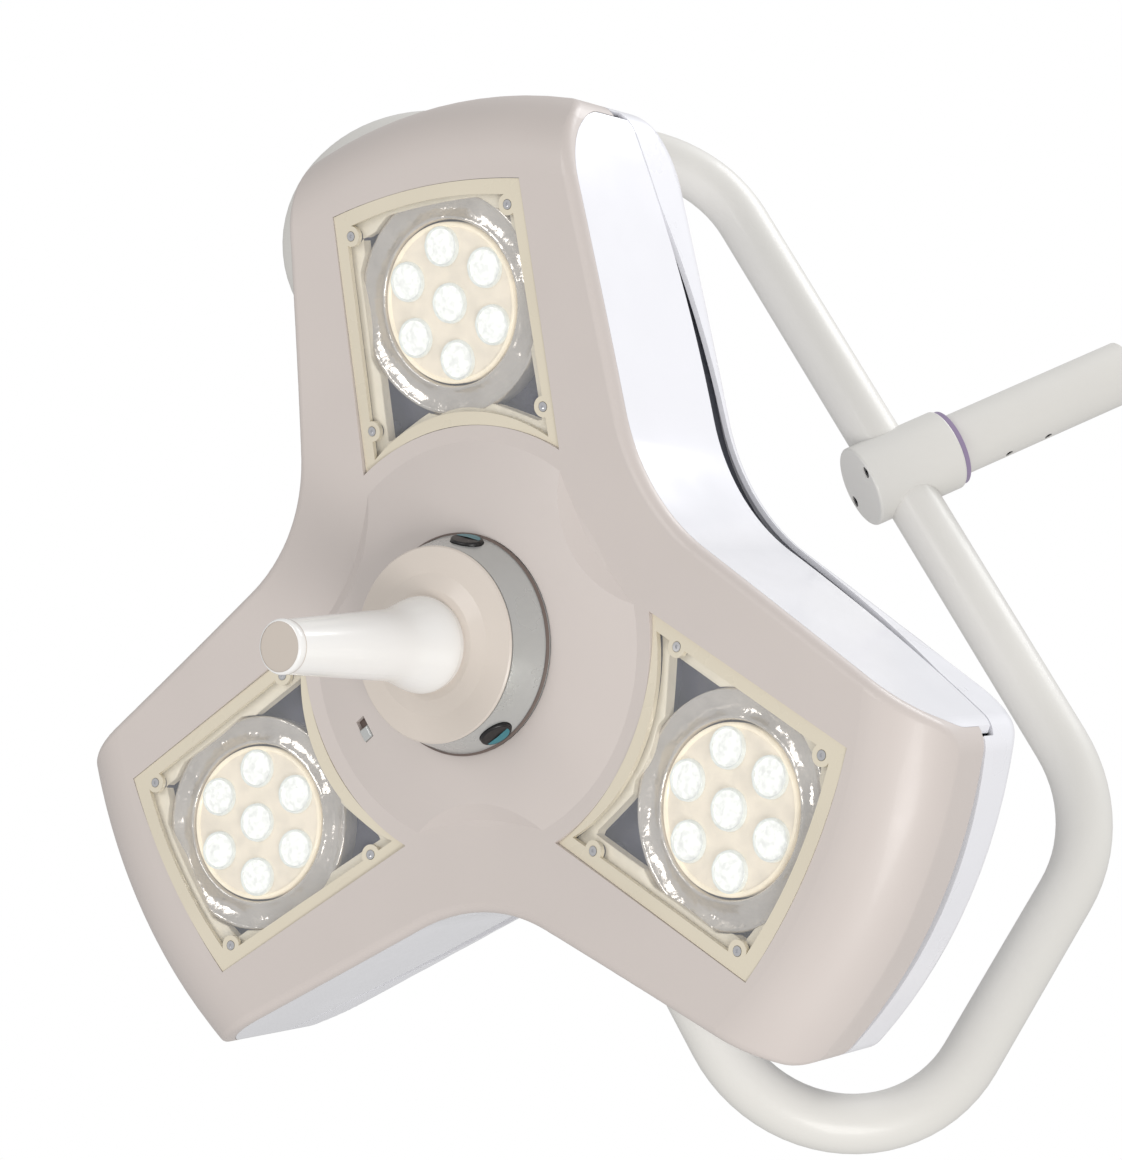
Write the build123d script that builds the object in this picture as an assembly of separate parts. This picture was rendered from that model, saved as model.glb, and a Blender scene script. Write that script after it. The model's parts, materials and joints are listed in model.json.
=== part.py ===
"""Dental operating light: a three-lobed LED head in a bent-tube yoke on a swivel arm.

The origin is the centre of the arm tube's open end. +X points out of that bore, away
from the head. The light is mirror-symmetric about the plane Z = 0.

The head's parts are drawn in the head's own frame and then placed: its origin is the
centre of the front face, x lies along the tilt axis, y points towards the swivel and
z points out of the face, along the handle. The lobes are at 30, 150 and 270 degrees.
"""
from build123d import *
import math
import os

os.makedirs("parts", exist_ok=True)

# ---- arm and swivel, along X (mm) ----
ARM_LENGTH = 125.0
ARM_RADIUS = 19.0
ARM_BORE = 16.0
SOCKET_RADIUS = 16.25
SOCKET_DEPTH = 45.0
SWIVEL_WASHER = 3.0
BODY_GAP = 0.3
RUNNING_GAP = 0.05
BLOCK_RADIUS = 25.0
BLOCK_BACK = -(ARM_LENGTH + SWIVEL_WASHER + BODY_GAP)
CAP_FACE = -188.0
SPINDLE_RADIUS = 11.0
SPINDLE_END = -52.0
HOUSING_END = -62.0
BUSH_LENGTH = 16.0
CABLE_BORE = 5.0
CLAMP_SCREW_Y = 19.8
SET_SCREW_X = (-94.0, -66.0)
SET_SCREW_RADIUS = 2.5

# ---- yoke, in the X-Z plane ----
YOKE_BRIDGE_X = -163.5
YOKE_RADIUS = 16.0
YOKE_WALL = 3.0
PIVOT_X = -425.0
YOKE_HALF_SPAN = 400.0
BRIDGE_HALF_SPAN = 246.0
PIVOT_BEND = 79.5
BRIDGE_BEND = 92.0
YOKE_END = 180.0
PIN_RADIUS = 8.0
PIN_INNER_END = 138.0

# ---- head ----
HEAD_SWING = 45.0
PIVOT_DEPTH = 33.8
LOBE_ANGLES = (30, 150, 270)
VALLEY_ANGLES = (90, 210, 330)
END_RADIUS = 312.0
BOWL_START = 104.0
BOWL_TILT = 8.15
FRONT_ROLL = 40.0
FRONT_REACH = 2.0
BACK_ROLL = 48.0
BACK_REACH = 3.0
BACK_DEPTH = 118.0
LOBE_HALF_WIDTH = 114.4
LOBE_WIDTH_AT = 149.7
LOBE_TAPER = 5.85
VALLEY_BEND = 111.6
CORNER_BEND = 18.0
EDGE_ROLL = 5.0
WALL = 3.0
SKIRT = 6.5
COVER_END_LIP = -30.0
REAR_END_LIP = -30.8
END_GAP_DEPTH = 36.5
END_GAP_ARC = 900.0
PANEL_DEPTH = 88.0
PANEL_ARC = 480.0
PANEL_GAP = 1.5
PANEL_HALF_SPAN = 207.0
REAR_RIM_DEPTH = 102.0
REAR_RIM_ARC = 340.0
CHASSIS_INSET = 8.0
PLATE_DEPTH = 62.0

# ---- hub ----
DISC_RADIUS = 124.6
DOME_HEIGHT = 12.4
DOME_SPHERE = 628.0
RING_BASE_RADIUS = 62.7
RING_BASE_Z = 9.2
RING_TOP_RADIUS = 55.5
RING_TOP_Z = 33.3
KNOB_TOP_Z = 35.7
HANDLE_TIP_Z = 160.6
HANDLE_TIP_RADIUS = 14.1
POST_RADIUS = 11.0
POST_TOP = 92.0
BUTTON_ANGLES = (0, 134)
BUTTON_Z = 20.0

# ---- lamp pods ----
POD_RADIUS = 194.3
WINDOW_INNER_X = -91.3
WINDOW_OUTER_X = 60.5
WINDOW_INNER_HALF = 71.5
WINDOW_OUTER_HALF = 68.4
WINDOW_INNER_BULGE = 20.9
WINDOW_OUTER_BULGE = 6.5
FRAME_RIM = 8.0
LED_DISC_RADIUS = 46.7
LED_FACE_Z = -10.0
LED_RING_RADIUS = 32.7
LED_LENS_RADIUS = 12.0
TRAY_DEPTH = 24.0
HEAT_SINK_DEPTH = 48.0

SLOPE = math.tan(math.radians(BOWL_TILT))
SWING_COS = math.cos(math.radians(HEAD_SWING))
SWING_SIN = math.sin(math.radians(HEAD_SWING))
FACE = Vector(-SWING_SIN, -SWING_COS, 0)
HEAD = Plane(
    origin=Vector(PIVOT_X, 0, 0) + FACE * PIVOT_DEPTH,
    x_dir=(0, 0, -1),
    z_dir=FACE,
)
YOKE = Plane(origin=(PIVOT_X, 0, 0), x_dir=(0, 0, 1), z_dir=(0, 1, 0))
TILT_AXIS = Plane(origin=(0, 0, -PIVOT_DEPTH), x_dir=(0, 1, 0), z_dir=(1, 0, 0))


def write(name, shape, plane=None):
    """Export one piece, placed from its own frame if a plane is given."""
    placed = shape if plane is None else plane.location * shape
    placed.label = name
    export_step(placed, f"parts/{name}.step")


def turned(shape, angle):
    """The shape turned about the frame's z axis."""
    return Rot(0, 0, angle) * shape


def gathered(pieces):
    """Several pieces in one node."""
    whole = pieces[0]
    for piece in pieces[1:]:
        whole = whole + piece
    return whole


def on_tilt_axis(start, end, radius, bore=0.0):
    """A round piece on the head's tilt axis, between two x positions in the head frame."""
    piece = Cylinder(radius, end - start)
    if bore:
        piece = piece - Cylinder(bore, end - start)
    return TILT_AXIS.location * Pos(0, 0, (start + end) / 2) * piece


def along_x(start, end, radius, bore=0.0):
    """A round piece on the arm's axis, between two X positions."""
    piece = Cylinder(radius, end - start)
    if bore:
        piece = piece - Cylinder(bore, end - start)
    return Pos((start + end) / 2, 0, 0) * Rot(0, 90, 0) * piece


def revolved(*points):
    """A solid of revolution about z from (radius, z) points."""
    profile = make_face(Plane.XZ * Polyline(*points, close=True))
    return revolve(profile, Axis.Z)


# ---------------------------------------------------------------- head blocks
def lobe_outline(inset):
    """The head's three-lobed outline, moved in by an inset."""
    taper = math.radians(LOBE_TAPER)

    def half_width(radius):
        side = LOBE_HALF_WIDTH - math.tan(taper) * (radius - LOBE_WIDTH_AT)
        return side - inset / math.cos(taper)

    valley = half_width(0) / (math.sin(math.radians(60)) + math.tan(taper) / 2)
    beyond = END_RADIUS + 28
    points = []
    for angle in LOBE_ANGLES:
        along = Vector(1, 0).rotate(Axis.Z, angle)
        across = Vector(0, 1).rotate(Axis.Z, angle)
        points.append(along * beyond - across * half_width(beyond))
        points.append(along * beyond + across * half_width(beyond))
        points.append(Vector(valley, 0).rotate(Axis.Z, angle + 60))
    outline = make_face(Polyline(*points, close=True))
    valleys = [v for v in outline.vertices() if math.hypot(v.X, v.Y) < LOBE_WIDTH_AT]
    outline = fillet(valleys, VALLEY_BEND + inset)
    outline = outline & Circle(END_RADIUS - inset)
    corners = [v for v in outline.vertices() if math.hypot(v.X, v.Y) > POD_RADIUS]
    return fillet(corners, max(CORNER_BEND - inset, WALL))


def lobe_prism(inset):
    """The outline as a tall prism."""
    height = 3 * BACK_DEPTH
    return Pos(0, 0, -height / 2) * extrude(lobe_outline(inset), height)


def front_block(drop):
    """The front's solid of revolution: flat middle, shallow bowl, rolled rim."""
    tilt = math.radians(BOWL_TILT)
    roll = FRONT_ROLL - drop
    centre_r = END_RADIUS + FRONT_REACH - FRONT_ROLL
    tangent_r = centre_r - FRONT_ROLL * math.sin(tilt)
    centre_z = (tangent_r - BOWL_START) * SLOPE - FRONT_ROLL * math.cos(tilt)
    start = (centre_r - roll * math.sin(tilt), centre_z + roll * math.cos(tilt))
    flat_z = start[1] - (start[0] - BOWL_START) * SLOPE
    middle = (
        centre_r + roll * math.sin(math.radians(45)),
        centre_z + roll * math.cos(math.radians(45)),
    )
    end = (centre_r + roll, centre_z)
    base = -1.5 * BACK_DEPTH
    profile = Polyline((0, base), (0, flat_z), (BOWL_START, flat_z), start)
    profile += ThreePointArc(start, middle, end)
    profile += Polyline(end, (end[0], base), (0, base))
    return revolve(make_face(Plane.XZ * profile), Axis.Z)


def back_block(drop):
    """The back's solid of revolution: flat middle, sloped lobes, rolled rim."""
    tilt = math.radians(BOWL_TILT)
    roll = BACK_ROLL - drop
    centre_r = END_RADIUS + BACK_REACH - BACK_ROLL
    tangent_r = centre_r + BACK_ROLL * math.sin(tilt)
    centre_z = -BACK_DEPTH + (tangent_r - BOWL_START) * SLOPE + BACK_ROLL * math.cos(tilt)
    start = (centre_r + roll * math.sin(tilt), centre_z - roll * math.cos(tilt))
    flat_z = start[1] - (start[0] - BOWL_START) * SLOPE
    middle = (
        centre_r + roll * math.sin(math.radians(50)),
        centre_z - roll * math.cos(math.radians(50)),
    )
    end = (centre_r + roll, centre_z)
    top = 1.5 * BACK_DEPTH
    profile = Polyline((0, top), (0, flat_z), (BOWL_START, flat_z), start)
    profile += ThreePointArc(start, middle, end)
    profile += Polyline(end, (end[0], top), (0, top))
    return revolve(make_face(Plane.XZ * profile), Axis.Z)


def valley_cylinder(angle, depth, radius, half_span):
    """A cylinder across one valley, lowest at the given depth, between two side planes."""
    length = END_RADIUS
    piece = Pos(110 + length / 2, 0, radius - depth) * Rot(0, 90, 0) * Cylinder(radius, length)
    piece = piece & Pos(110 + length / 2, 0, 0) * Box(length, 2 * half_span, 4 * BACK_DEPTH)
    return turned(piece, angle)


def wall_edges(block, low, high):
    """The edges between a block's outline walls and its face, in a band of heights."""
    found = []
    for e in block.edges():
        if not low < e.center().Z < high:
            continue
        on_side = e.geom_type in (GeomType.HYPERBOLA, GeomType.BSPLINE)
        on_end = e.geom_type == GeomType.CIRCLE and abs(e.radius - END_RADIUS) < 1
        if e.length > CORNER_BEND and (on_side or on_end):
            found.append(e)
    return found


# ---------------------------------------------------------------- lamp pods
def pod_location(angle):
    """The frame of one lamp pod: z out of its window, x outwards along the lobe."""
    height = (POD_RADIUS - BOWL_START) * SLOPE
    return Rot(0, 0, angle) * Pos(POD_RADIUS, 0, height) * Rot(0, -BOWL_TILT, 0)


def window_outline(inset):
    """The window's outline in the pod frame, moved in by an inset."""
    inner_x = WINDOW_INNER_X + inset
    outer_x = WINDOW_OUTER_X - inset
    inner_half = WINDOW_INNER_HALF - inset
    outer_half = WINDOW_OUTER_HALF - inset
    edge = ThreePointArc(
        (inner_x, inner_half), (inner_x + WINDOW_INNER_BULGE, 0), (inner_x, -inner_half)
    )
    edge += Line((inner_x, -inner_half), (outer_x, -outer_half))
    edge += ThreePointArc(
        (outer_x, -outer_half), (outer_x + WINDOW_OUTER_BULGE, 0), (outer_x, outer_half)
    )
    edge += Line((outer_x, outer_half), (inner_x, inner_half))
    return make_face(edge)


def slab(face, low, high):
    """A face extruded between two heights."""
    return Pos(0, 0, low) * extrude(face, high - low)


def boss_places():
    """The window screws' places in the pod frame."""
    return [
        (WINDOW_INNER_X + 25, WINDOW_INNER_HALF - 9),
        (WINDOW_INNER_X + 25, 9 - WINDOW_INNER_HALF),
        (WINDOW_OUTER_X - 13, WINDOW_OUTER_HALF - 11),
        (WINDOW_OUTER_X - 13, 11 - WINDOW_OUTER_HALF),
    ]


def lens_places():
    """The seven emitters: one in the middle and six in a ring."""
    ring = [
        (LED_RING_RADIUS * math.cos(math.radians(a)), LED_RING_RADIUS * math.sin(math.radians(a)))
        for a in range(0, 360, 60)
    ]
    return [(0, 0)] + ring


def window_frame():
    """Rim of the window with a round boss at each screw."""
    fit = 0.2
    rim = slab(window_outline(fit), -2.5, 0.5) - slab(window_outline(FRAME_RIM), -4, 2)
    for x, y in boss_places():
        rim += Pos(x, y, -1) * Cylinder(6.0, 3.0)
    rim = rim & slab(window_outline(fit), -4, 2)
    for x, y in boss_places():
        rim -= Pos(x, y, 0) * Cylinder(1.6, 12)
        rim -= Pos(x, y, 0.5) * Cylinder(3.0, 2.4)
    return rim


def window_screws():
    """The pod's four window screws, heads sunk in the frame's bosses."""
    screw = Cylinder(2.7, 1.2) + Pos(0, 0, -5) * Cylinder(1.5, 10)
    screw -= Pos(0, 0, 0.6) * extrude(RegularPolygon(1.2, 6), -0.9)
    return gathered([Pos(x, y, 0) * screw for x, y in boss_places()])


def window_lens():
    """Clear sheet under the frame."""
    lens = slab(window_outline(3.5), -5.0, -2.6)
    for x, y in boss_places():
        lens -= Pos(x, y, -4) * Cylinder(1.9, 6)
    return lens


def pod_tray():
    """Dark tray behind the window, with a hole for the lamp and its heat sink."""
    tray = slab(window_outline(3.5), -TRAY_DEPTH, -5.1)
    tray -= slab(window_outline(5.5), 2 - TRAY_DEPTH, 0)
    for x, y in boss_places():
        tray += Pos(x, y, -(TRAY_DEPTH + 5.1) / 2) * Cylinder(4.5, TRAY_DEPTH - 5.1)
    tray = tray & slab(window_outline(3.5), -TRAY_DEPTH, -5.1)
    for x, y in boss_places():
        tray -= Pos(x, y, -8) * Cylinder(1.5, 8)
    return tray - Pos(0, 0, -TRAY_DEPTH) * Cylinder(LED_DISC_RADIUS + 1.5, 10)


def reflector():
    """Polished dish around the lamp disc."""
    inner = LED_DISC_RADIUS + 0.6
    return revolved(
        (inner, 2 - TRAY_DEPTH),
        (inner, -12),
        (54.4, -6.6),
        (54.4, -7.8),
        (inner + 1.4, -13),
        (inner + 1.4, 2 - TRAY_DEPTH),
    )


def led_optic():
    """Clear disc with seven raised lenses, hollowed over each emitter."""
    optic = Pos(0, 0, LED_FACE_Z - 3) * Cylinder(LED_DISC_RADIUS, 6)
    for x, y in lens_places():
        lens = Pos(x, y, LED_FACE_Z + 1.5) * Cone(LED_LENS_RADIUS, LED_LENS_RADIUS - 1.5, 3)
        optic += lens
        optic -= Pos(x, y, LED_FACE_Z - 6) * Cylinder(4.0, 5)
    return optic


def led_emitters():
    """Seven emitters on the board."""
    chip = Pos(0, 0, LED_FACE_Z - 5.5) * Box(4, 4, 1)
    chip += Pos(0, 0, LED_FACE_Z - 5) * Sphere(1.5, arc_size1=0)
    return gathered([Pos(x, y, 0) * chip for x, y in lens_places()])


def led_board():
    """Round circuit board under the optic."""
    return Pos(0, 0, LED_FACE_Z - 6.8) * Cylinder(LED_DISC_RADIUS - 0.7, 1.6)


def heat_sink():
    """Round base with straight fins."""
    base_top = LED_FACE_Z - 7.6
    base_low = base_top - 6
    sink = Pos(0, 0, (base_top + base_low) / 2) * Cylinder(LED_DISC_RADIUS - 0.7, 6)
    fins = HEAT_SINK_DEPTH + base_low
    for row in range(-5, 6):
        x = 8.0 * row
        width = 2 * math.sqrt((LED_DISC_RADIUS - 1.5) ** 2 - x * x)
        sink += Pos(x, 0, base_low - fins / 2) * Box(2.2, width, fins)
    return sink


# ---------------------------------------------------------------- head shells
def dome(drop):
    """The face's raised middle, moved in by a drop, with a scoop towards each valley."""
    cap = Pos(0, 0, DOME_HEIGHT - DOME_SPHERE - drop) * Sphere(DOME_SPHERE)
    cap = cap & (Pos(0, 0, 20) * Cylinder(DISC_RADIUS - drop, 60))
    scoop = revolved((0, -22.4), (80, 2.8), (80, 60), (0, 60))
    scoop = Pos(160 - drop, 0, -11 - drop) * Rot(0, 13.5, 0) * scoop
    for angle in VALLEY_ANGLES:
        cap -= turned(scoop, angle)
    return cap


def tab_slot():
    """The service latch's slot, as a tool through the face."""
    return Pos(0, -90, 4) * Box(14, 7.6, 12)


def front_cover():
    """The face shell: bowl, raised middle, rolled lobe ends, three window openings."""
    block = front_block(0) & lobe_prism(0)
    block = fillet(wall_edges(block, -15, 40), EDGE_ROLL)
    shell = block + dome(0)
    shell -= front_block(WALL) & lobe_prism(WALL)
    shell -= dome(WALL)
    shell -= front_block(SKIRT)
    shell = shell & (Pos(0, 0, COVER_END_LIP + 50) * Box(800, 800, 100))
    for angle in LOBE_ANGLES:
        shell -= pod_location(angle) * slab(window_outline(0), -30, 30)
    shell -= Cylinder(RING_BASE_RADIUS + 0.5, 60)
    return shell - tab_slot()


def trunnion_clearance(start):
    """The way in for the yoke's tube along the tilt axis, at both sides."""
    way = on_tilt_axis(start, END_RADIUS, YOKE_RADIUS + 2)
    return way + on_tilt_axis(-END_RADIUS, -start, YOKE_RADIUS + 2)


def side_panel(angle):
    """The pale leaf-shaped panel along one valley."""
    band = lobe_prism(0) - lobe_prism(2.5)
    band = band & front_block(SKIRT + BODY_GAP)
    band = band & valley_cylinder(angle, PANEL_DEPTH, PANEL_ARC, PANEL_HALF_SPAN)
    return band - trunnion_clearance(YOKE_END)


def rear_screw_places():
    """The rear cover's six screws, in the head frame."""
    places = []
    for angle in LOBE_ANGLES:
        for side in (-1, 1):
            spot = Vector(225, side * 62).rotate(Axis.Z, angle)
            places.append((spot.X, spot.Y))
    return places


def rear_cover():
    """The back shell, its rim cut away along the valleys and dipped at the lobe ends."""
    block = back_block(0) & lobe_prism(0)
    block = fillet(wall_edges(block, -125, -60), 2 * EDGE_ROLL)
    shell = block - (back_block(WALL) & lobe_prism(WALL))
    shell -= Pos(0, 0, REAR_END_LIP + 150) * Box(800, 800, 300)
    for angle in VALLEY_ANGLES:
        shell -= valley_cylinder(angle, REAR_RIM_DEPTH, REAR_RIM_ARC, PANEL_HALF_SPAN)
        gap_span = PANEL_HALF_SPAN + PANEL_GAP
        shell -= valley_cylinder(angle, PANEL_DEPTH + PANEL_GAP, PANEL_ARC, gap_span)
    for angle in LOBE_ANGLES:
        notch = Pos(END_RADIUS, 0, END_GAP_ARC - END_GAP_DEPTH) * Rot(0, 90, 0)
        shell -= turned(notch * Cylinder(END_GAP_ARC, 80), angle)
    for x, y in rear_screw_places():
        shell -= Pos(x, y, -100) * Cylinder(2.2, 60)
    return shell


def plate_solid(low, high):
    """A dished plate that follows the bowl, between two depths."""
    rise = (END_RADIUS - BOWL_START) * SLOPE
    return revolved(
        (0, low),
        (BOWL_START, low),
        (END_RADIUS, low + rise),
        (END_RADIUS, high + rise),
        (BOWL_START, high),
        (0, high),
    )


def chassis():
    """The head's frame: a dished plate, a wall inside the shells and rear posts."""
    plate = plate_solid(-PLATE_DEPTH - WALL, -PLATE_DEPTH) & lobe_prism(CHASSIS_INSET)
    wall = lobe_prism(CHASSIS_INSET) - lobe_prism(CHASSIS_INSET + 2.5)
    wall = wall & front_block(SKIRT + 1) & back_block(WALL + 1)
    frame = plate + wall
    for x, y in rear_screw_places():
        post = Pos(x, y, -75) * Cylinder(4.5, 60) & plate_solid(-200, -PLATE_DEPTH)
        frame += post & back_block(WALL)
    for x, y in rear_screw_places():
        frame -= Pos(x, y, -95) * Cylinder(1.8, 40)
    for angle in VALLEY_ANGLES:
        frame -= turned(Pos(36, 0, -PLATE_DEPTH) * Cylinder(7, 20), angle + 60)
    return frame - trunnion_clearance(YOKE_END - 6)


def rear_screws():
    """Six pan-head screws that hold the rear cover."""
    radius = math.hypot(*rear_screw_places()[0])
    seat = (radius - BOWL_START) * SLOPE - BACK_DEPTH - 1.0
    screw = Pos(0, 0, seat - 1.2) * Cylinder(4, 2.4) + Pos(0, 0, seat + 10) * Cylinder(1.8, 20)
    return gathered([Pos(x, y, 0) * screw for x, y in rear_screw_places()])


# ---------------------------------------------------------------- hub
def switch_ring():
    """Silver cone around the handle's base, with an opening for each button."""
    lip = RING_BASE_RADIUS + 6
    ring = revolved(
        (lip, 1),
        (lip, 4),
        (RING_BASE_RADIUS, 4),
        (RING_BASE_RADIUS, RING_BASE_Z),
        (RING_TOP_RADIUS, RING_TOP_Z),
        (RING_TOP_RADIUS - WALL, RING_TOP_Z),
        (RING_BASE_RADIUS - WALL, RING_BASE_Z),
        (RING_BASE_RADIUS - WALL, 1),
    )
    for angle in BUTTON_ANGLES:
        ring -= button_location(angle) * slab(Ellipse(10.4, 8.4), -12, 12)
    return ring


def button_location(angle):
    """A button's frame on the cone: z straight out of the wall, x around it."""
    fall = (RING_BASE_RADIUS - RING_TOP_RADIUS) / (RING_TOP_Z - RING_BASE_Z)
    radius = RING_BASE_RADIUS - (BUTTON_Z - RING_BASE_Z) * fall
    return Rot(0, 0, angle) * Location(
        Plane(origin=(radius, 0, BUTTON_Z), x_dir=(0, 1, 0), z_dir=(1, 0, fall))
    )


def button():
    """Oval rubber button with a retaining flange and a stem."""
    body = slab(Ellipse(10, 8), -5.4, 1.6)
    top = [e for e in body.edges() if e.center().Z > 1]
    body = fillet(top, 1.2)
    body += slab(Ellipse(11.6, 9.4), -6.6, -5.4)
    return body + slab(Circle(3), -8.2, -6.6)


def switch_unit():
    """Small board with a push switch behind a button."""
    return slab(Rectangle(18, 12), -13.6, -12) + slab(Rectangle(6, 6), -12, -9.4)


def hub_frame():
    """Black ring on three posts that carries the switch ring and its board."""
    outer = RING_BASE_RADIUS + 6
    frame = revolved((44, -6), (outer, -6), (outer, 0.8), (RING_TOP_RADIUS, 0.8), (44, -3))
    for angle in VALLEY_ANGLES:
        length = PLATE_DEPTH - 6
        frame += turned(Pos(RING_TOP_RADIUS, 0, -6 - length / 2) * Cylinder(5, length), angle)
    return frame


def control_board():
    """Round board under the hub."""
    return Pos(0, 0, -7.4) * (Cylinder(46, 1.6) - Cylinder(16, 1.6))


def handle_post():
    """Metal post that the handle pushes on to."""
    post = Pos(0, 0, (POST_TOP - PLATE_DEPTH) / 2) * Cylinder(POST_RADIUS, POST_TOP + PLATE_DEPTH)
    post = chamfer(post.edges().sort_by(Axis.Z)[-1], 1.5)
    return post + Pos(0, 0, 3 - PLATE_DEPTH) * Cylinder(26, 6)


def handle():
    """White grip that flares out at its foot."""
    profile = Polyline((0, 40), (26.2, 40), (27.2, 44))
    profile += Spline((27.2, 44), (26, 52), (21.4, 66), (19, 88), tangents=((0.1, 1), (-0.05, 1)))
    profile += Polyline((19, 88), (HANDLE_TIP_RADIUS + 0.4, HANDLE_TIP_Z - 5), (0, HANDLE_TIP_Z - 5))
    profile += Line((0, HANDLE_TIP_Z - 5), (0, 40))
    grip = revolve(make_face(Plane.XZ * profile), Axis.Z)
    grip -= Pos(0, 0, 70) * Cylinder(POST_RADIUS + 0.4, 60)
    return grip - Pos(0, 0, HANDLE_TIP_Z - 8) * Cylinder(5, 6)


def handle_tip():
    """Flat beige cap on the grip's end."""
    cap = Pos(0, 0, HANDLE_TIP_Z - 2.5) * Cone(HANDLE_TIP_RADIUS + 0.4, HANDLE_TIP_RADIUS, 5)
    cap = fillet(cap.edges().sort_by(Axis.Z)[-1], 1.0)
    return cap + Pos(0, 0, HANDLE_TIP_Z - 7.5) * Cylinder(5, 5)


def knob():
    """Cream disc at the handle's foot."""
    low = RING_TOP_Z + 0.5
    disc = revolved(
        (POST_RADIUS + 0.4, low),
        (RING_TOP_RADIUS - 0.6, low),
        (RING_TOP_RADIUS, low + 0.6),
        (RING_TOP_RADIUS, KNOB_TOP_Z - 0.8),
        (RING_TOP_RADIUS - 0.9, KNOB_TOP_Z),
        (40, 37.4),
        (31, 40),
        (POST_RADIUS + 0.4, 40),
    )
    skirt = Pos(0, 0, low - 3) * (Cylinder(20, 6) - Cylinder(POST_RADIUS + 0.4, 6))
    return disc + skirt


def release_tab():
    """Sliding tab in the face's slot, with a flange under the face."""
    tab = Pos(3, -90, 3.9) * Box(7.4, 7, 7)
    top = [e for e in tab.edges() if e.center().Z > 7]
    tab = fillet(top, 1.2)
    return tab + Pos(3, -90, -0.6) * Box(12, 11, 2)


def driver_board():
    """Power board under the chassis plate."""
    return Pos(0, 0, -74) * Box(120, 84, 1.6)


def driver_parts():
    """Transformer, capacitors and terminal block on the power board."""
    parts = Pos(-28, 8, -84) * Box(40, 42, 18.4)
    for place in range(3):
        parts += Pos(18, 26 - 22 * place, -83) * Cylinder(8, 16.4)
    return parts + Pos(46, 0, -80.8) * Box(14, 48, 12)


def driver_standoffs():
    """Four spacers between the chassis plate and the power board."""
    low = -73.2
    high = -PLATE_DEPTH - WALL
    spacer = Pos(0, 0, (low + high) / 2) * Cylinder(3.5, high - low)
    return gathered([Pos(x, y, 0) * spacer for x in (-54, 54) for y in (-36, 36)])


# ---------------------------------------------------------------- tilt bearings
def pivot_bracket():
    """Block on the chassis plate that holds the tilt bush."""
    block = Pos(161, 0, -42.5) * Box(22, 34, 43.4)
    block -= plate_solid(-200, -PLATE_DEPTH)
    block = fillet(block.edges().filter_by(Axis.X).sort_by(Axis.Z)[-2:], 6)
    return block - on_tilt_axis(140, 180, PIN_RADIUS + 3)


def pivot_bush():
    """Flanged bronze bush."""
    sleeve = on_tilt_axis(150, 172, PIN_RADIUS + 3)
    flange = on_tilt_axis(172, 174, 15)
    return sleeve + flange - on_tilt_axis(140, 180, PIN_RADIUS + RUNNING_GAP)


def friction_disc():
    """Friction washer between the bush and the yoke's end."""
    return on_tilt_axis(174, YOKE_END - BODY_GAP, 15, PIN_RADIUS + RUNNING_GAP)


def pivot_pin():
    """Hollow steel pin from the yoke's end plug through the bush."""
    return on_tilt_axis(PIN_INNER_END, YOKE_END + 42, PIN_RADIUS, 4)


def pivot_nut():
    """Hexagon lock nut on the pin's inner end."""
    nut = extrude(RegularPolygon(13, 6), 8) - Cylinder(PIN_RADIUS, 40)
    return TILT_AXIS.location * Pos(0, 0, 141.5) * nut


def mirrored(shape):
    """The shape on the head's other side."""
    return mirror(shape, about=Plane.YZ)


def pair(shape):
    """The shape and its mirror image, as separate solids."""
    return shape + mirrored(shape)


# ---------------------------------------------------------------- yoke
def yoke_path(start):
    """The yoke's centreline from one end round to the other."""
    bridge = YOKE_BRIDGE_X - PIVOT_X
    points = [
        (start, 0),
        (YOKE_HALF_SPAN, 0),
        (BRIDGE_HALF_SPAN, bridge),
        (-BRIDGE_HALF_SPAN, bridge),
        (-YOKE_HALF_SPAN, 0),
        (-start, 0),
    ]
    path = Wire(Polyline(*points).edges())
    outer = [v for v in path.vertices() if abs(abs(v.X) - YOKE_HALF_SPAN) < 1]
    path = path.fillet_2d(PIVOT_BEND, outer)
    inner = [v for v in path.vertices() if abs(abs(v.X) - BRIDGE_HALF_SPAN) < 1]
    return path.fillet_2d(BRIDGE_BEND, inner)


def swept(path, radius, bore=0.0):
    """A round bar or tube along a path in the yoke's plane."""
    plane = Plane(origin=path @ 0, z_dir=path % 0)
    bar = sweep(plane * Circle(radius), path)
    if bore:
        bar -= sweep(plane * Circle(bore), path)
    return bar


def yoke_plug():
    """Ring that fixes the pivot pin in the tube's end."""
    return on_tilt_axis(YOKE_END, YOKE_END + 42, YOKE_RADIUS - YOKE_WALL, PIN_RADIUS)


def cable_path():
    """The cable's route inside one half of the yoke."""
    bridge = YOKE_BRIDGE_X - PIVOT_X
    points = [(PIN_INNER_END + 2, 0), (YOKE_HALF_SPAN, 0), (BRIDGE_HALF_SPAN, bridge), (12, bridge)]
    path = Wire(Polyline(*points).edges())
    outer = [v for v in path.vertices() if abs(v.X - YOKE_HALF_SPAN) < 1]
    path = path.fillet_2d(PIVOT_BEND, outer)
    inner = [v for v in path.vertices() if abs(v.X - BRIDGE_HALF_SPAN) < 1]
    return path.fillet_2d(BRIDGE_BEND, inner)


# ---------------------------------------------------------------- swivel
YOKE_HOLE = Pos(YOKE_BRIDGE_X, 0, 0) * Cylinder(YOKE_RADIUS, 120)


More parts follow.
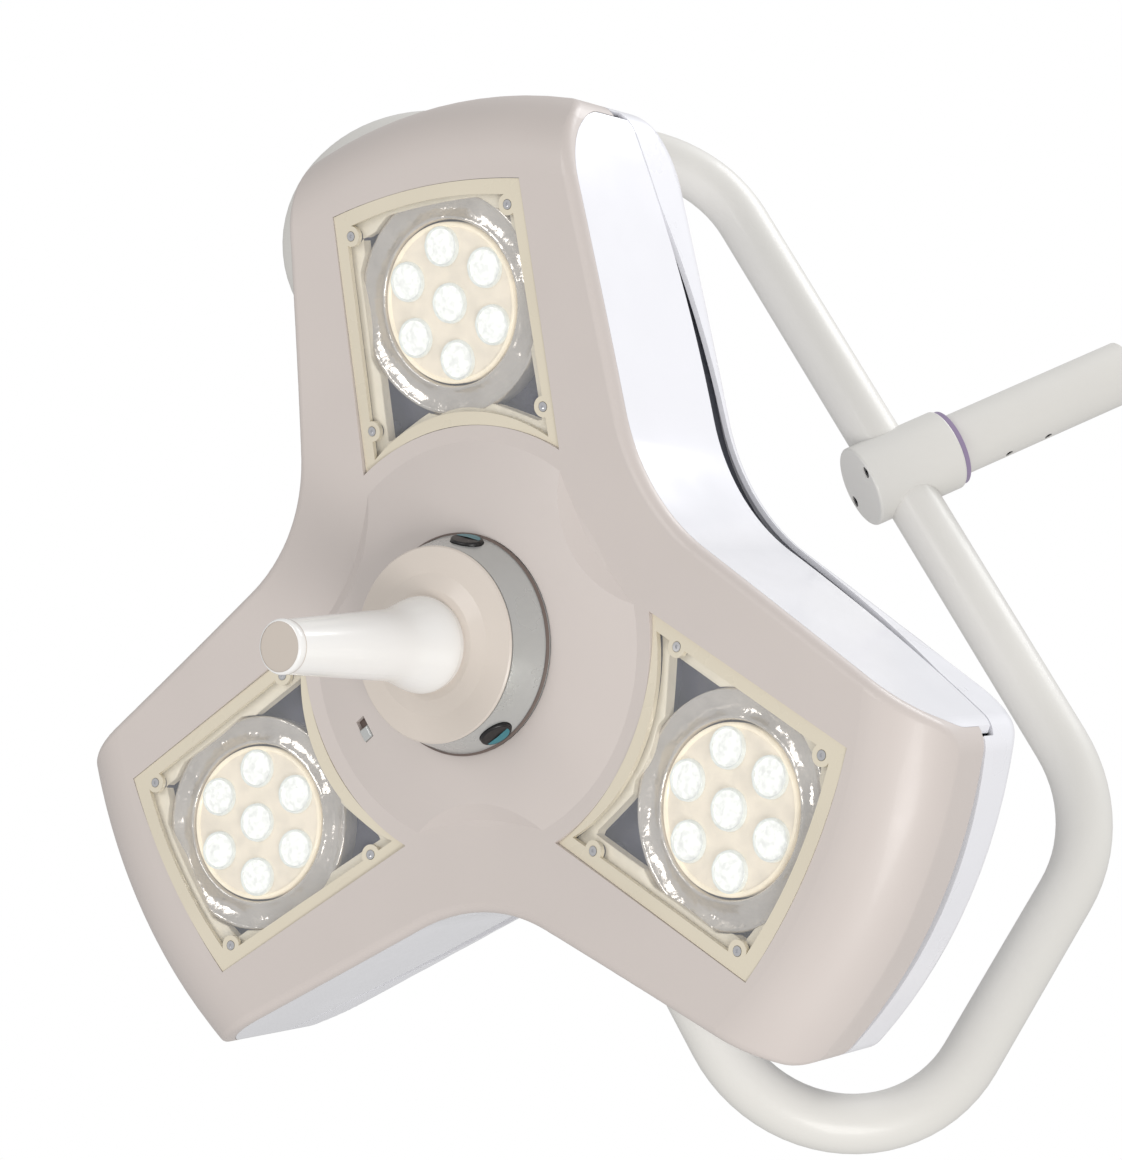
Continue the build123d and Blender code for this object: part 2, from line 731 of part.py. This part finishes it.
def swivel_cap():
    """Clamp half with the flat end face."""
    cap = along_x(CAP_FACE, YOKE_BRIDGE_X, BLOCK_RADIUS)
    rim = cap.edges().filter_by(GeomType.CIRCLE).sort_by(Axis.X)[0]
    cap = fillet(rim, 1.5) - YOKE_HOLE
    for side in (-1, 1):
        cap -= Pos(0, side * CLAMP_SCREW_Y, 0) * along_x(CAP_FACE - 1, CAP_FACE + 5, 3.6)
        cap -= Pos(0, side * CLAMP_SCREW_Y, 0) * along_x(CAP_FACE, YOKE_BRIDGE_X, 2.1)
    return cap


def swivel_block():
    """Clamp half that carries the spindle."""
    block = along_x(YOKE_BRIDGE_X, BLOCK_BACK, BLOCK_RADIUS)
    rim = block.edges().filter_by(GeomType.CIRCLE).sort_by(Axis.X)[-1]
    block = fillet(rim, 1.2) - YOKE_HOLE
    block -= along_x(YOKE_BRIDGE_X, BLOCK_BACK + 1, SPINDLE_RADIUS)
    for side in (-1, 1):
        block -= Pos(0, side * CLAMP_SCREW_Y, 0) * along_x(YOKE_BRIDGE_X, -147.5, 2.0)
    return block


def cap_screws():
    """Two socket-head screws that close the clamp."""
    screw = along_x(CAP_FACE + 0.8, CAP_FACE + 5, 3.5) + along_x(CAP_FACE + 5, -148.5, 2.0)
    screw -= Pos(CAP_FACE, 0, 0) * Rot(0, 90, 0) * extrude(RegularPolygon(1.7, 6), 3)
    return gathered([Pos(0, side * CLAMP_SCREW_Y, 0) * screw for side in (-1, 1)])


def swivel_spindle():
    """Hollow shaft from the block into the arm."""
    start = YOKE_BRIDGE_X + YOKE_RADIUS + 0.3
    return along_x(start, SPINDLE_END, SPINDLE_RADIUS, CABLE_BORE)


def spindle_housing():
    """Steel sleeve inside the arm that holds both bushes."""
    sleeve = along_x(-ARM_LENGTH, HOUSING_END, ARM_BORE, ARM_BORE - 2.5)
    for x in SET_SCREW_X:
        sleeve -= Pos(x, 0, -ARM_BORE) * Cylinder(SET_SCREW_RADIUS, 8)
    return sleeve


def swivel_bushes():
    """Two bronze bushes for the spindle, one at each end of the housing."""
    bushes = along_x(-ARM_LENGTH, HOUSING_END, ARM_BORE - 2.5, SPINDLE_RADIUS + RUNNING_GAP)
    return bushes - along_x(BUSH_LENGTH - ARM_LENGTH, HOUSING_END - BUSH_LENGTH, ARM_BORE)


def spindle_nut():
    """Hexagon lock nut on the spindle's end."""
    nut = extrude(RegularPolygon(14.5, 6), 8) - Cylinder(SPINDLE_RADIUS, 40)
    return Pos(HOUSING_END + BODY_GAP, 0, 0) * Rot(0, 90, 0) * nut


def arm_tube():
    """The arm's stub, with its open end at the origin."""
    bar = along_x(-ARM_LENGTH, 0, ARM_RADIUS)
    bar = chamfer(bar.edges().filter_by(GeomType.CIRCLE).sort_by(Axis.X)[-1], 0.6)
    tube = bar - along_x(-ARM_LENGTH, 0, ARM_BORE) - along_x(-SOCKET_DEPTH, 0, SOCKET_RADIUS)
    for x in SET_SCREW_X:
        tube -= Pos(x, 0, -ARM_RADIUS) * Cylinder(SET_SCREW_RADIUS, 12)
    return tube


def arm_set_screws():
    """Two grub screws that fix the housing in the arm."""
    screw = Pos(0, 0, 2.9 - ARM_RADIUS) * Cylinder(SET_SCREW_RADIUS, 4.6)
    screw -= Pos(0, 0, -ARM_RADIUS) * extrude(RegularPolygon(1.3, 6), 2.4)
    return gathered([Pos(x, 0, 0) * screw for x in SET_SCREW_X])


# ---------------------------------------------------------------- build
write("arm_tube", arm_tube())
write("spindle_housing", spindle_housing())
write("swivel_bushes", swivel_bushes())
write("swivel_washer", along_x(BLOCK_BACK + BODY_GAP, -ARM_LENGTH, 23.6, SPINDLE_RADIUS + 0.5))
write("arm_set_screws", arm_set_screws())

write("swivel_block", swivel_block())
write("swivel_cap", swivel_cap())
write("cap_screws", cap_screws())
write("swivel_spindle", swivel_spindle())
write("spindle_nut", spindle_nut())
write("yoke_tube", swept(yoke_path(YOKE_END), YOKE_RADIUS, YOKE_RADIUS - YOKE_WALL), YOKE)
write("yoke_cable", swept(cable_path(), 3.0), YOKE)
write("yoke_plugs", pair(yoke_plug()), HEAD)
write("pivot_pins", pair(pivot_pin()), HEAD)
write("pivot_nuts", pair(pivot_nut()), HEAD)

write("front_cover", front_cover(), HEAD)
write("rear_cover", rear_cover(), HEAD)
write("chassis", chassis(), HEAD)
write("rear_cover_screws", rear_screws(), HEAD)
for number, angle in enumerate(VALLEY_ANGLES, start=1):
    write(f"side_panel_{number}", side_panel(angle), HEAD)
write("pivot_bracket_lower", pivot_bracket(), HEAD)
write("pivot_bracket_upper", mirrored(pivot_bracket()), HEAD)
write("pivot_bushes", pair(pivot_bush()), HEAD)
write("friction_discs", pair(friction_disc()), HEAD)

for number, angle in enumerate(LOBE_ANGLES, start=1):
    place = pod_location(angle)
    write(f"window_frame_{number}", place * window_frame(), HEAD)
    write(f"window_lens_{number}", place * window_lens(), HEAD)
    write(f"pod_tray_{number}", place * pod_tray(), HEAD)
    write(f"reflector_{number}", place * reflector(), HEAD)
    write(f"led_optic_{number}", place * led_optic(), HEAD)
    write(f"led_board_{number}", place * (led_board() + led_emitters()), HEAD)
    write(f"heat_sink_{number}", place * heat_sink(), HEAD)

write("window_screws", gathered([pod_location(a) * window_screws() for a in LOBE_ANGLES]), HEAD)
write("switch_units", gathered([button_location(a) * switch_unit() for a in BUTTON_ANGLES]), HEAD)
write("switch_ring", switch_ring(), HEAD)
write("hub_frame", hub_frame(), HEAD)
write("control_board", control_board(), HEAD)
write("handle_post", handle_post(), HEAD)
write("driver_board", driver_board() + driver_parts() + driver_standoffs(), HEAD)
for number, angle in enumerate(BUTTON_ANGLES, start=1):
    write(f"button_{number}", button_location(angle) * button(), HEAD)
write("release_tab", release_tab(), HEAD)
write("handle", handle(), HEAD)
write("handle_tip", handle_tip(), HEAD)
write("knob", knob(), HEAD)
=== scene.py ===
"""Looks of a three-lobed operating light: materials, lamp details, studio light and camera."""
import json
import math

import bmesh
import bpy
from mathutils import Matrix, Vector


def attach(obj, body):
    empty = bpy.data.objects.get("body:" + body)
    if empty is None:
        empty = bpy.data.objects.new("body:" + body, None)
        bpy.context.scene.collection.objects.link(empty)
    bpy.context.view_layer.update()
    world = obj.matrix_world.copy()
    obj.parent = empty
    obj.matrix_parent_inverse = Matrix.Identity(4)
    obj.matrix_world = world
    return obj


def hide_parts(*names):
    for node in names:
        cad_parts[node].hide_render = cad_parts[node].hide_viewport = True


# ---- the head's own frame, as in the CAD (metres) ----
HEAD_ORIGIN = Vector((-0.4489, -0.0239, 0.0))
HEAD_X = Vector((0, 0, -1))
HEAD_Y = Vector((1, -1, 0)).normalized()
HEAD_Z = Vector((-1, -1, 0)).normalized()
LOBE_ANGLES = (30, 150, 270)
BUTTON_ANGLES = (0, 134)
POD_RADIUS = 0.1943
BOWL_START = 0.104
BOWL_TILT = math.radians(8.15)

# ---- lamp pods ----
DISC_RADIUS = 0.0467
DISC_Z = -0.0100
LENS_RING = 0.0327
LENS_RADIUS = 0.0118
WINDOW_IN = -0.0913
WINDOW_OUT = 0.0605
WINDOW_IN_HALF = 0.0715
WINDOW_OUT_HALF = 0.0684
WINDOW_OUT_BULGE = 0.0065
WINDOW_IN_BULGE = 0.0209
LINER_FOOT = -0.0130
LINER_INSET = 0.0060
LINER_HOLE_INSET = 0.0145
LINER_THIN = 0.0035
DISH_RADIUS = 0.0645

# ---- hub ----
RING_BASE_RADIUS = 0.0627
RING_TOP_RADIUS = 0.0555
RING_BASE_Z = 0.0092
RING_TOP_Z = 0.0333
BUTTON_Z = 0.0200
TAB_POCKET_Z = 0.0022
TIP_RADIUS = 0.0145
TIP_Z = 0.1606

# ---- studio ----
WORLD_STRENGTH = 0.52
BACKDROP_STRENGTH = 1.0
FLOOR_PLACE = (-0.35, 0.0, -2.6)
FLOOR_RADIUS = 6.0

# ---- camera ----
CAMERA_PLACE = Vector((-0.72153, -1.36708, -0.48919))
CAMERA_RIGHT = Vector((0.89160, -0.05532, -0.44944))
CAMERA_UP = Vector((0.39086, -0.40716, 0.82550))
CAMERA_BACK = Vector((-0.22866, -0.91168, -0.34140))
CAMERA_LENS = 79.17

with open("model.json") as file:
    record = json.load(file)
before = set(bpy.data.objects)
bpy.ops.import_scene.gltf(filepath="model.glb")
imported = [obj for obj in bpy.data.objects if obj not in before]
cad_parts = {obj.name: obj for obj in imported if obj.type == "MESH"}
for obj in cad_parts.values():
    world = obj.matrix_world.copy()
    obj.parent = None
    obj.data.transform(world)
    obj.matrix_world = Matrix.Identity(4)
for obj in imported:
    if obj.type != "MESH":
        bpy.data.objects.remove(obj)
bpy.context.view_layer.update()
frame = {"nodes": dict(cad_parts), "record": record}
nodes = frame["nodes"]


def colour(red, green, blue):
    """A linear colour from one given as 0 to 255 in sRGB."""
    linear = []
    for value in (red, green, blue):
        share = value / 255
        low = share <= 0.04045
        linear.append(share / 12.92 if low else ((share + 0.055) / 1.055) ** 2.4)
    return (*linear, 1.0)


# ---------------------------------------------------------------- materials
def shader(name):
    """A new material and its Principled shader."""
    made = bpy.data.materials.new(name)
    made.use_nodes = True
    return made, made.node_tree.nodes["Principled BSDF"]


def noise(tree, scale, detail=2.0):
    """Noise in the object's own coordinates, in features per metre."""
    place = tree.nodes.new("ShaderNodeTexCoord")
    texture = tree.nodes.new("ShaderNodeTexNoise")
    texture.inputs["Scale"].default_value = scale
    texture.inputs["Detail"].default_value = detail
    tree.links.new(place.outputs["Object"], texture.inputs["Vector"])
    return texture.outputs["Fac"]


def ramp(tree, source, low, high, start=0.3, end=0.7):
    """A colour ramp between two colours or two greys."""
    node = tree.nodes.new("ShaderNodeValToRGB")
    first, last = node.color_ramp.elements
    first.position = start
    last.position = end
    first.color = low if isinstance(low, tuple) else (low, low, low, 1)
    last.color = high if isinstance(high, tuple) else (high, high, high, 1)
    tree.links.new(source, node.inputs["Fac"])
    return node.outputs["Color"]


def surface(name, base, rough, vary=0.04, grain=900, depth=0.00002, metal=0.0, coat=0.0,
            drift=9, rough_vary=0.06):
    """A finish with slow colour drift, patchy gloss and fine grain."""
    made, principled = shader(name)
    tree = made.node_tree
    darker = tuple(c * (1 - vary) for c in base[:3]) + (1,)
    lighter = tuple(min(1.0, c * (1 + vary)) for c in base[:3]) + (1,)
    tint = ramp(tree, noise(tree, drift), darker, lighter)
    tree.links.new(tint, principled.inputs["Base Color"])
    gloss = ramp(tree, noise(tree, drift * 4, 4), max(0.02, rough - rough_vary), rough + rough_vary)
    tree.links.new(gloss, principled.inputs["Roughness"])
    bump = tree.nodes.new("ShaderNodeBump")
    bump.inputs["Distance"].default_value = depth
    bump.inputs["Strength"].default_value = 0.6
    tree.links.new(noise(tree, grain, 3), bump.inputs["Height"])
    tree.links.new(bump.outputs["Normal"], principled.inputs["Normal"])
    principled.inputs["Metallic"].default_value = metal
    principled.inputs["Coat Weight"].default_value = coat
    principled.inputs["Coat Roughness"].default_value = 0.12
    return made


def clear(name, base, alpha, rough=0.03):
    """Clear plastic seen as a faint gloss over what is under it."""
    made, principled = shader(name)
    principled.inputs["Base Color"].default_value = base
    principled.inputs["Roughness"].default_value = rough
    principled.inputs["Alpha"].default_value = alpha
    principled.inputs["Specular IOR Level"].default_value = 0.8
    made.surface_render_method = "BLENDED"
    return made


def glowing(name, base, light, strength, rough=0.25, vary=0.12, scale=160):
    """Lit plastic: brightness drifts over it as in a moulded optic."""
    made, principled = shader(name)
    tree = made.node_tree
    principled.inputs["Base Color"].default_value = base
    principled.inputs["Roughness"].default_value = rough
    dim = tuple(c * (1 - 3 * vary) for c in light[:3]) + (1,)
    tint = ramp(tree, noise(tree, scale, 3), dim, light, 0.35, 0.6)
    tree.links.new(tint, principled.inputs["Emission Color"])
    principled.inputs["Emission Strength"].default_value = strength
    bump = tree.nodes.new("ShaderNodeBump")
    bump.inputs["Distance"].default_value = 0.0003
    tree.links.new(noise(tree, scale * 2, 2), bump.inputs["Height"])
    tree.links.new(bump.outputs["Normal"], principled.inputs["Normal"])
    return made


MATERIALS = {
    "powder_coat": surface("powder_coat", colour(224, 222, 217), 0.42, 0.015, 700, 0.00003, coat=0.15),
    "steel": surface("steel", colour(200, 200, 202), 0.28, 0.06, 500, 0.00002, metal=1.0),
    "bronze": surface("bronze", colour(186, 138, 80), 0.35, 0.08, 500, 0.00003, metal=1.0),
    "seam_ring": surface("seam_ring", colour(150, 135, 165), 0.35, 0.06),
    "dark_steel": surface("dark_steel", colour(95, 95, 98), 0.4, 0.1, 800, 0.00003, metal=1.0),
    "cable": surface("cable", colour(225, 225, 222), 0.5, 0.04, 500, 0.00004),
    "cover": surface("cover", colour(210, 201, 196), 0.45, 0.015, 1100, 0.00002, coat=0.1),
    "shell_white": surface("shell_white", colour(242, 242, 247), 0.3, 0.01, 900, 0.000004, coat=0.3),
    "frame_metal": surface("frame_metal", colour(118, 120, 128), 0.55, 0.1, 600, 0.0001, metal=0.4),
    "panel_white": surface("panel_white", colour(246, 246, 251), 0.2, 0.01, 900, 0.000003, coat=0.5),
    "dark_plastic": surface("dark_plastic", colour(70, 70, 78), 0.5, 0.1, 700, 0.00005),
    "chrome": surface("chrome", colour(232, 232, 235), 0.1, 0.03, 300, 0.00002, metal=1.0,
                      rough_vary=0.04),
    "board": surface("board", colour(45, 105, 75), 0.45, 0.1, 400, 0.00005),
    "silver": surface("silver", colour(198, 200, 199), 0.3, 0.03, 1200, 0.00001, metal=0.4,
                      coat=0.3),
    "button_rubber": surface("button_rubber", colour(24, 22, 24), 0.34, 0.15, 900, 0.00005),
    "handle_white": surface("handle_white", colour(249, 248, 246), 0.2, 0.01, 700, 0.00001, coat=0.5),
    "tip_beige": surface("tip_beige", colour(204, 194, 184), 0.5, 0.03, 900, 0.00003),
    "knob_cream": surface("knob_cream", colour(217, 207, 197), 0.38, 0.015, 900, 0.00002, coat=0.15),
    "frame_cream": surface("frame_cream", colour(224, 215, 195), 0.3, 0.03, 300, 0.00004, coat=0.4),
    "lens_clear": clear("lens_clear", colour(240, 243, 248), 0.10),
    "tray_dark": surface("tray_dark", colour(62, 63, 88), 0.32, 0.12, 300, 0.0001, coat=0.3),
    "optic_clear": clear("optic_clear", colour(250, 246, 236), 0.4, 0.1),
    "board_white": surface("board_white", colour(235, 230, 215), 0.5, 0.05),
}
for part in frame["record"]["subparts"]:
    node = nodes[part["node"]]
    node.data.materials.clear()
    node.data.materials.append(MATERIALS[part["material_slot"]])


# ---------------------------------------------------------------- placing
def head_matrix():
    """The head's frame as a matrix in the row frame."""
    turn = Matrix((HEAD_X, HEAD_Y, HEAD_Z)).transposed().to_4x4()
    return Matrix.Translation(HEAD_ORIGIN) @ turn


def pod_matrix(angle):
    """One pod's frame: x outwards along the lobe, z out of the window."""
    height = (POD_RADIUS - BOWL_START) * math.tan(BOWL_TILT)
    lobe = Matrix.Rotation(math.radians(angle), 4, "Z")
    lean = Matrix.Rotation(-BOWL_TILT, 4, "Y")
    return head_matrix() @ lobe @ Matrix.Translation((POD_RADIUS, 0, height)) @ lean


def button_matrix(angle):
    """A button's frame on the cone: z straight out of the wall, x around it."""
    fall = (RING_BASE_RADIUS - RING_TOP_RADIUS) / (RING_TOP_Z - RING_BASE_Z)
    radius = RING_BASE_RADIUS - (BUTTON_Z - RING_BASE_Z) * fall
    out = Vector((1, 0, fall)).normalized()
    around = Vector((0, 1, 0))
    turn = Matrix((around, out.cross(around), out)).transposed().to_4x4()
    place = Matrix.Rotation(math.radians(angle), 4, "Z") @ Matrix.Translation((radius, 0, BUTTON_Z))
    return head_matrix() @ place @ turn


def piece(name, mesh_points, faces, matrix, material, body):
    """A new mesh object that rides on a body."""
    mesh = bpy.data.meshes.new(name)
    mesh.from_pydata(mesh_points, [], faces)
    mesh.transform(matrix)
    mesh.update()
    mesh.polygons.foreach_set("use_smooth", [True] * len(mesh.polygons))
    made = bpy.data.objects.new(name, mesh)
    bpy.context.scene.collection.objects.link(made)
    made.data.materials.append(MATERIALS[material])
    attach(made, body)
    return made


def lathe(profile, steps=96, wave=None):
    """Points and faces of a profile of (radius, z) turned about z, with an optional ripple."""
    points = []
    faces = []
    for step in range(steps):
        angle = 2 * math.pi * step / steps
        for index, (radius, z) in enumerate(profile):
            lift = wave(angle, index) if wave else 0.0
            points.append((radius * math.cos(angle), radius * math.sin(angle), z + lift))
    count = len(profile)
    for step in range(steps):
        here = step * count
        there = (step + 1) % steps * count
        for index in range(count - 1):
            faces.append((here + index, there + index, there + index + 1, here + index + 1))
    return points, faces


def shifted(points, x, y):
    """The points moved in a pod's plane."""
    return [(px + x, py + y, pz) for px, py, pz in points]


# ---------------------------------------------------------------- lamp pods
MATERIALS["lamp_disc"] = glowing("lamp_disc", colour(238, 228, 210), colour(255, 238, 212), 0.16,
                                 0.3, 0.2, 90)
MATERIALS["lamp_lens"] = glowing("lamp_lens", colour(228, 232, 226), colour(244, 250, 250), 0.20,
                                 0.1, 0.16, 260)
MATERIALS["lamp_core"] = glowing("lamp_core", colour(246, 248, 244), colour(255, 255, 250), 0.32,
                                 0.15, 0.22, 300)
MATERIALS["dish_metal"] = surface("dish_metal", colour(214, 208, 200), 0.16, 0.1, 70, 0.0030,
                                  metal=0.6, coat=0.3, drift=45)
MATERIALS["lamp_rim"] = glowing("lamp_rim", colour(244, 234, 212), colour(255, 238, 205), 0.30,
                                0.12, 0.1, 90)
# The liner gives off no light of its own: its emission is painted light that brightens the cream wall.
MATERIALS["liner_cream_painted_glow"] = glowing("liner_cream_painted_glow", colour(232, 224, 204), colour(255, 238, 210), 0.10,
                                   0.3, 0.15, 60)


def lens_places():
    """The seven emitters: one in the middle and six in a ring."""
    places = [(0.0, 0.0)]
    for angle in range(0, 360, 60):
        turn = math.radians(angle)
        places.append((LENS_RING * math.cos(turn), LENS_RING * math.sin(turn)))
    return places


def lamp(number, angle):
    """The lit disc, its raised rim, and seven lenses that each have a bright core."""
    matrix = pod_matrix(angle)
    rim = DISC_RADIUS - 0.0004
    face = DISC_Z
    disc = [(0.0001, face - 0.0006), (rim - 0.0028, face - 0.0006)]
    made = piece(f"lamp_disc_{number}", *lathe(disc), matrix, "lamp_disc", "head")
    edge = [(rim - 0.0028, face - 0.0006), (rim - 0.0020, face + 0.0008), (rim - 0.0011, face + 0.0010),
            (rim - 0.0004, face + 0.0004), (rim, face - 0.0008), (rim, face - 0.006)]
    bezel = piece(f"lamp_rim_{number}", *lathe(edge), matrix, "lamp_rim", "head")
    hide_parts(f"led_optic_{number}")
    cup = [(LENS_RADIUS, face - 0.0005), (LENS_RADIUS - 0.0004, face + 0.0018),
           (LENS_RADIUS - 0.0009, face + 0.0024), (LENS_RADIUS * 0.86, face + 0.0010)]
    core = [(LENS_RADIUS * 0.86, face + 0.0010), (LENS_RADIUS * 0.66, face + 0.0004),
            (LENS_RADIUS * 0.40, face + 0.0016), (LENS_RADIUS * 0.20, face + 0.0022),
            (0.0001, face + 0.0024)]
    points, faces, bright_points, bright_faces = [], [], [], []
    for x, y in lens_places():
        ring_points, ring_faces = lathe(cup, 36, lambda a, i: 0.0003 * math.cos(9 * a) * (i > 1))
        faces += [tuple(v + len(points) for v in f) for f in ring_faces]
        points += shifted(ring_points, x, y)
        dome_points, dome_faces = lathe(core, 36)
        bright_faces += [tuple(v + len(bright_points) for v in f) for f in dome_faces]
        bright_points += shifted(dome_points, x, y)
    lenses = piece(f"lamp_lenses_{number}", points, faces, matrix, "lamp_lens", "head")
    cores = piece(f"lamp_cores_{number}", bright_points, bright_faces, matrix, "lamp_core", "head")


def dish(number, angle):
    """Polished dish round the disc, with the soft ripples of pressed metal."""
    edge = DISC_RADIUS + 0.0008
    profile = [(edge, -0.0125), (edge + 0.0004, -0.0098), (edge + 0.0014, -0.0092),
               (edge + 0.0028, -0.0104), (edge + 0.0070, -0.0122), (edge + 0.0110, -0.0118),
               (DISH_RADIUS - 0.0024, -0.0098), (DISH_RADIUS - 0.0008, -0.0088),
               (DISH_RADIUS, -0.0096), (DISH_RADIUS, -0.0218)]

    def ripple(turn, index):
        depth = 0.0005 if 2 < index < 6 else 0.0
        return depth * (math.sin(7 * turn) + 0.6 * math.sin(13 * turn + 1.3))

    points, faces = lathe(profile, 144, ripple)
    limit = WINDOW_OUT + WINDOW_OUT_BULGE - 0.0068
    points = [(min(x, limit), max(-0.0640, min(0.0640, y)), z) for x, y, z in points]
    made = piece(f"dish_{number}", points, faces, pod_matrix(angle), "dish_metal", "head")
    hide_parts(f"reflector_{number}")


def window_reach(turn, inset):
    """Distance from a pod's centre to the window's edge, moved in by an inset, in one direction."""
    x, y = math.cos(turn), math.sin(turn)
    reach = 1.0
    if x > 1e-6:
        sag = WINDOW_OUT_BULGE * (1 - min(1.0, (y / x * WINDOW_OUT / WINDOW_OUT_HALF) ** 2))
        reach = min(reach, (WINDOW_OUT + sag - inset) / x)
    if x < -1e-6:
        sag = WINDOW_IN_BULGE * (1 - min(1.0, (y / x * WINDOW_IN / WINDOW_IN_HALF) ** 2))
        reach = min(reach, (WINDOW_IN + sag + inset) / x)
    if abs(y) > 1e-6:
        slope = (WINDOW_IN_HALF - WINDOW_OUT_HALF) / (WINDOW_OUT - WINDOW_IN)
        half = WINDOW_OUT_HALF + slope * WINDOW_OUT - inset
        reach = min(reach, half / (abs(y) + slope * x))
    return reach


def liner(number, angle):
    """Cream wall inside the window, set back where the dish comes close to it; its glow is painted
    light.
    """
    steps = 240
    outer, inner = [], []
    for step in range(steps):
        turn = 2 * math.pi * step / steps
        wall = window_reach(turn, LINER_INSET)
        hole = window_reach(turn, LINER_HOLE_INSET)
        hole = max(hole, min(DISH_RADIUS + 0.0010, wall - LINER_THIN))
        outer.append((wall, turn))
        inner.append((min(hole, wall - LINER_THIN), turn))
    lip = [(r - 0.0008, a) for r, a in inner]
    rings = [(outer, -0.0052), (inner, -0.0052), (lip, -0.0060), (inner, -0.0070),
             (inner, LINER_FOOT)]
    points = [(r * math.cos(a), r * math.sin(a), z) for ring, z in rings for r, a in ring]
    faces = []
    for ring in range(len(rings) - 1):
        for step in range(steps):
            after = (step + 1) % steps
            here, there = ring * steps, (ring + 1) * steps
            faces.append((here + step, here + after, there + after, there + step))
    faces = [tuple(reversed(face)) for face in faces]
    made = piece(f"window_liner_{number}", points, faces, pod_matrix(angle), "liner_cream_painted_glow", "head")


for number, angle in enumerate(LOBE_ANGLES, start=1):
    lamp(number, angle)
    dish(number, angle)
    liner(number, angle)


# ---------------------------------------------------------------- hub
MATERIALS["teal"] = surface("teal", colour(38, 122, 135), 0.3, 0.1, 600, 0.00003, coat=0.3)


def button_mark(number, angle, side):
    """Teal half of a button's face, a thin domed inlay."""
    steps = 24
    points = [(0.0, side * 0.0006, 0.0021)]
    for step in range(steps + 1):
        turn = math.pi * step / steps
        points.append((0.0082 * math.cos(turn), side * (0.0006 + 0.0058 * math.sin(turn)), 0.00172))
    faces = [(0, i, i + 1) for i in range(1, steps + 1)]
    made = piece(f"button_mark_{number}", points, faces, button_matrix(angle), "teal",
                 f"button_{number}")


button_mark(1, BUTTON_ANGLES[0], -1)
button_mark(2, BUTTON_ANGLES[1], -1)

# Painted shade: a thin dark band at the ring's base stands in for the shade in the gap between the ring
# and the cover. The same dark material also paints the slot's shade below.
MATERIALS["seam"] = surface("seam", colour(112, 98, 92), 0.6, 0.08)
gap = [(RING_BASE_RADIUS - 0.0006, 0.0122), (RING_BASE_RADIUS + 0.0002, 0.0119),
       (RING_BASE_RADIUS + 0.0007, 0.0108)]
seam = piece("ring_gap_shade", *lathe(gap, 144), head_matrix(), "seam", "head")

# Painted shade: a flat dark sheet on the face stands in for the shade inside the small slot near the
# knob's edge.
pocket_shade_points = [(x, y, TAB_POCKET_Z) for x, y in ((-0.008, -0.095), (0.008, -0.095),
                                                   (0.008, -0.085), (-0.008, -0.085))]
pocket_shade = piece("tab_pocket_shade", pocket_shade_points, [(0, 1, 2, 3)], head_matrix(), "seam", "head")

collar = [(TIP_RADIUS - 0.0001, TIP_Z - 0.0046), (TIP_RADIUS + 0.0002, TIP_Z - 0.0042),
          (TIP_RADIUS + 0.0002, TIP_Z - 0.0010), (TIP_RADIUS - 0.0004, TIP_Z + 0.0001),
          (TIP_RADIUS - 0.0012, TIP_Z + 0.0003)]
rim = piece("tip_collar", *lathe(collar), head_matrix(), "handle_white", "handle")


# ---------------------------------------------------------------- studio
def softbox(name, side, up, out, size, power, tint):
    """A square light placed along the camera's own directions, aimed at the head's origin."""
    data = bpy.data.lights.new(name, "AREA")
    data.shape = "SQUARE"
    data.size = size
    data.energy = power
    data.color = tint
    made = bpy.data.objects.new(name, data)
    bpy.context.scene.collection.objects.link(made)
    away = CAMERA_RIGHT * side + CAMERA_UP * up + CAMERA_BACK * out
    made.location = HEAD_ORIGIN + away
    made.rotation_mode = "QUATERNION"
    made.rotation_quaternion = away.to_track_quat("Z", "Y")


softbox("key", 0.45, -0.75, 1.95, 0.9, 20, (1.0, 0.985, 0.965))
softbox("fill", -1.8, 0.9, 1.5, 0.9, 12, (1.0, 0.985, 0.975))
softbox("panel", 1.6, 1.8, -0.6, 1.4, 36, (0.97, 0.98, 1.0))

world = bpy.data.worlds.new("studio")
bpy.context.scene.world = world
world.use_nodes = True
background = world.node_tree.nodes["Background"]
background.inputs["Color"].default_value = (1.0, 1.0, 1.0, 1.0)
background.inputs["Strength"].default_value = WORLD_STRENGTH
backdrop = world.node_tree.nodes.new("ShaderNodeBackground")
backdrop.inputs["Color"].default_value = (1.0, 1.0, 1.0, 1.0)
backdrop.inputs["Strength"].default_value = BACKDROP_STRENGTH
seen = world.node_tree.nodes.new("ShaderNodeLightPath")
choice = world.node_tree.nodes.new("ShaderNodeMixShader")
world.node_tree.links.new(seen.outputs["Is Camera Ray"], choice.inputs["Fac"])
world.node_tree.links.new(background.outputs["Background"], choice.inputs[1])
world.node_tree.links.new(backdrop.outputs["Background"], choice.inputs[2])
world_output = world.node_tree.nodes["World Output"]
world.node_tree.links.new(choice.outputs["Shader"], world_output.inputs["Surface"])

MATERIALS["floor"] = surface("floor", colour(240, 240, 240), 0.7, 0.01, 200, 0.0001)
floor_mesh = bpy.data.meshes.new("floor")
shape = bmesh.new()
bmesh.ops.create_circle(shape, cap_ends=True, segments=96, radius=FLOOR_RADIUS)
shape.to_mesh(floor_mesh)
shape.free()
floor = bpy.data.objects.new("floor", floor_mesh)
floor.location = FLOOR_PLACE
floor.data.materials.append(MATERIALS["floor"])
bpy.context.scene.collection.objects.link(floor)

camera_data = bpy.data.cameras.new("camera")
camera_data.lens = CAMERA_LENS
camera_data.sensor_width = 36.0
camera = bpy.data.objects.new("camera", camera_data)
camera.matrix_world = Matrix.Translation(CAMERA_PLACE) @ Matrix(
    (CAMERA_RIGHT, CAMERA_UP, CAMERA_BACK)
).transposed().to_4x4()
bpy.context.scene.collection.objects.link(camera)
bpy.context.scene.camera = camera
bpy.context.scene.view_settings.view_transform = "Standard"
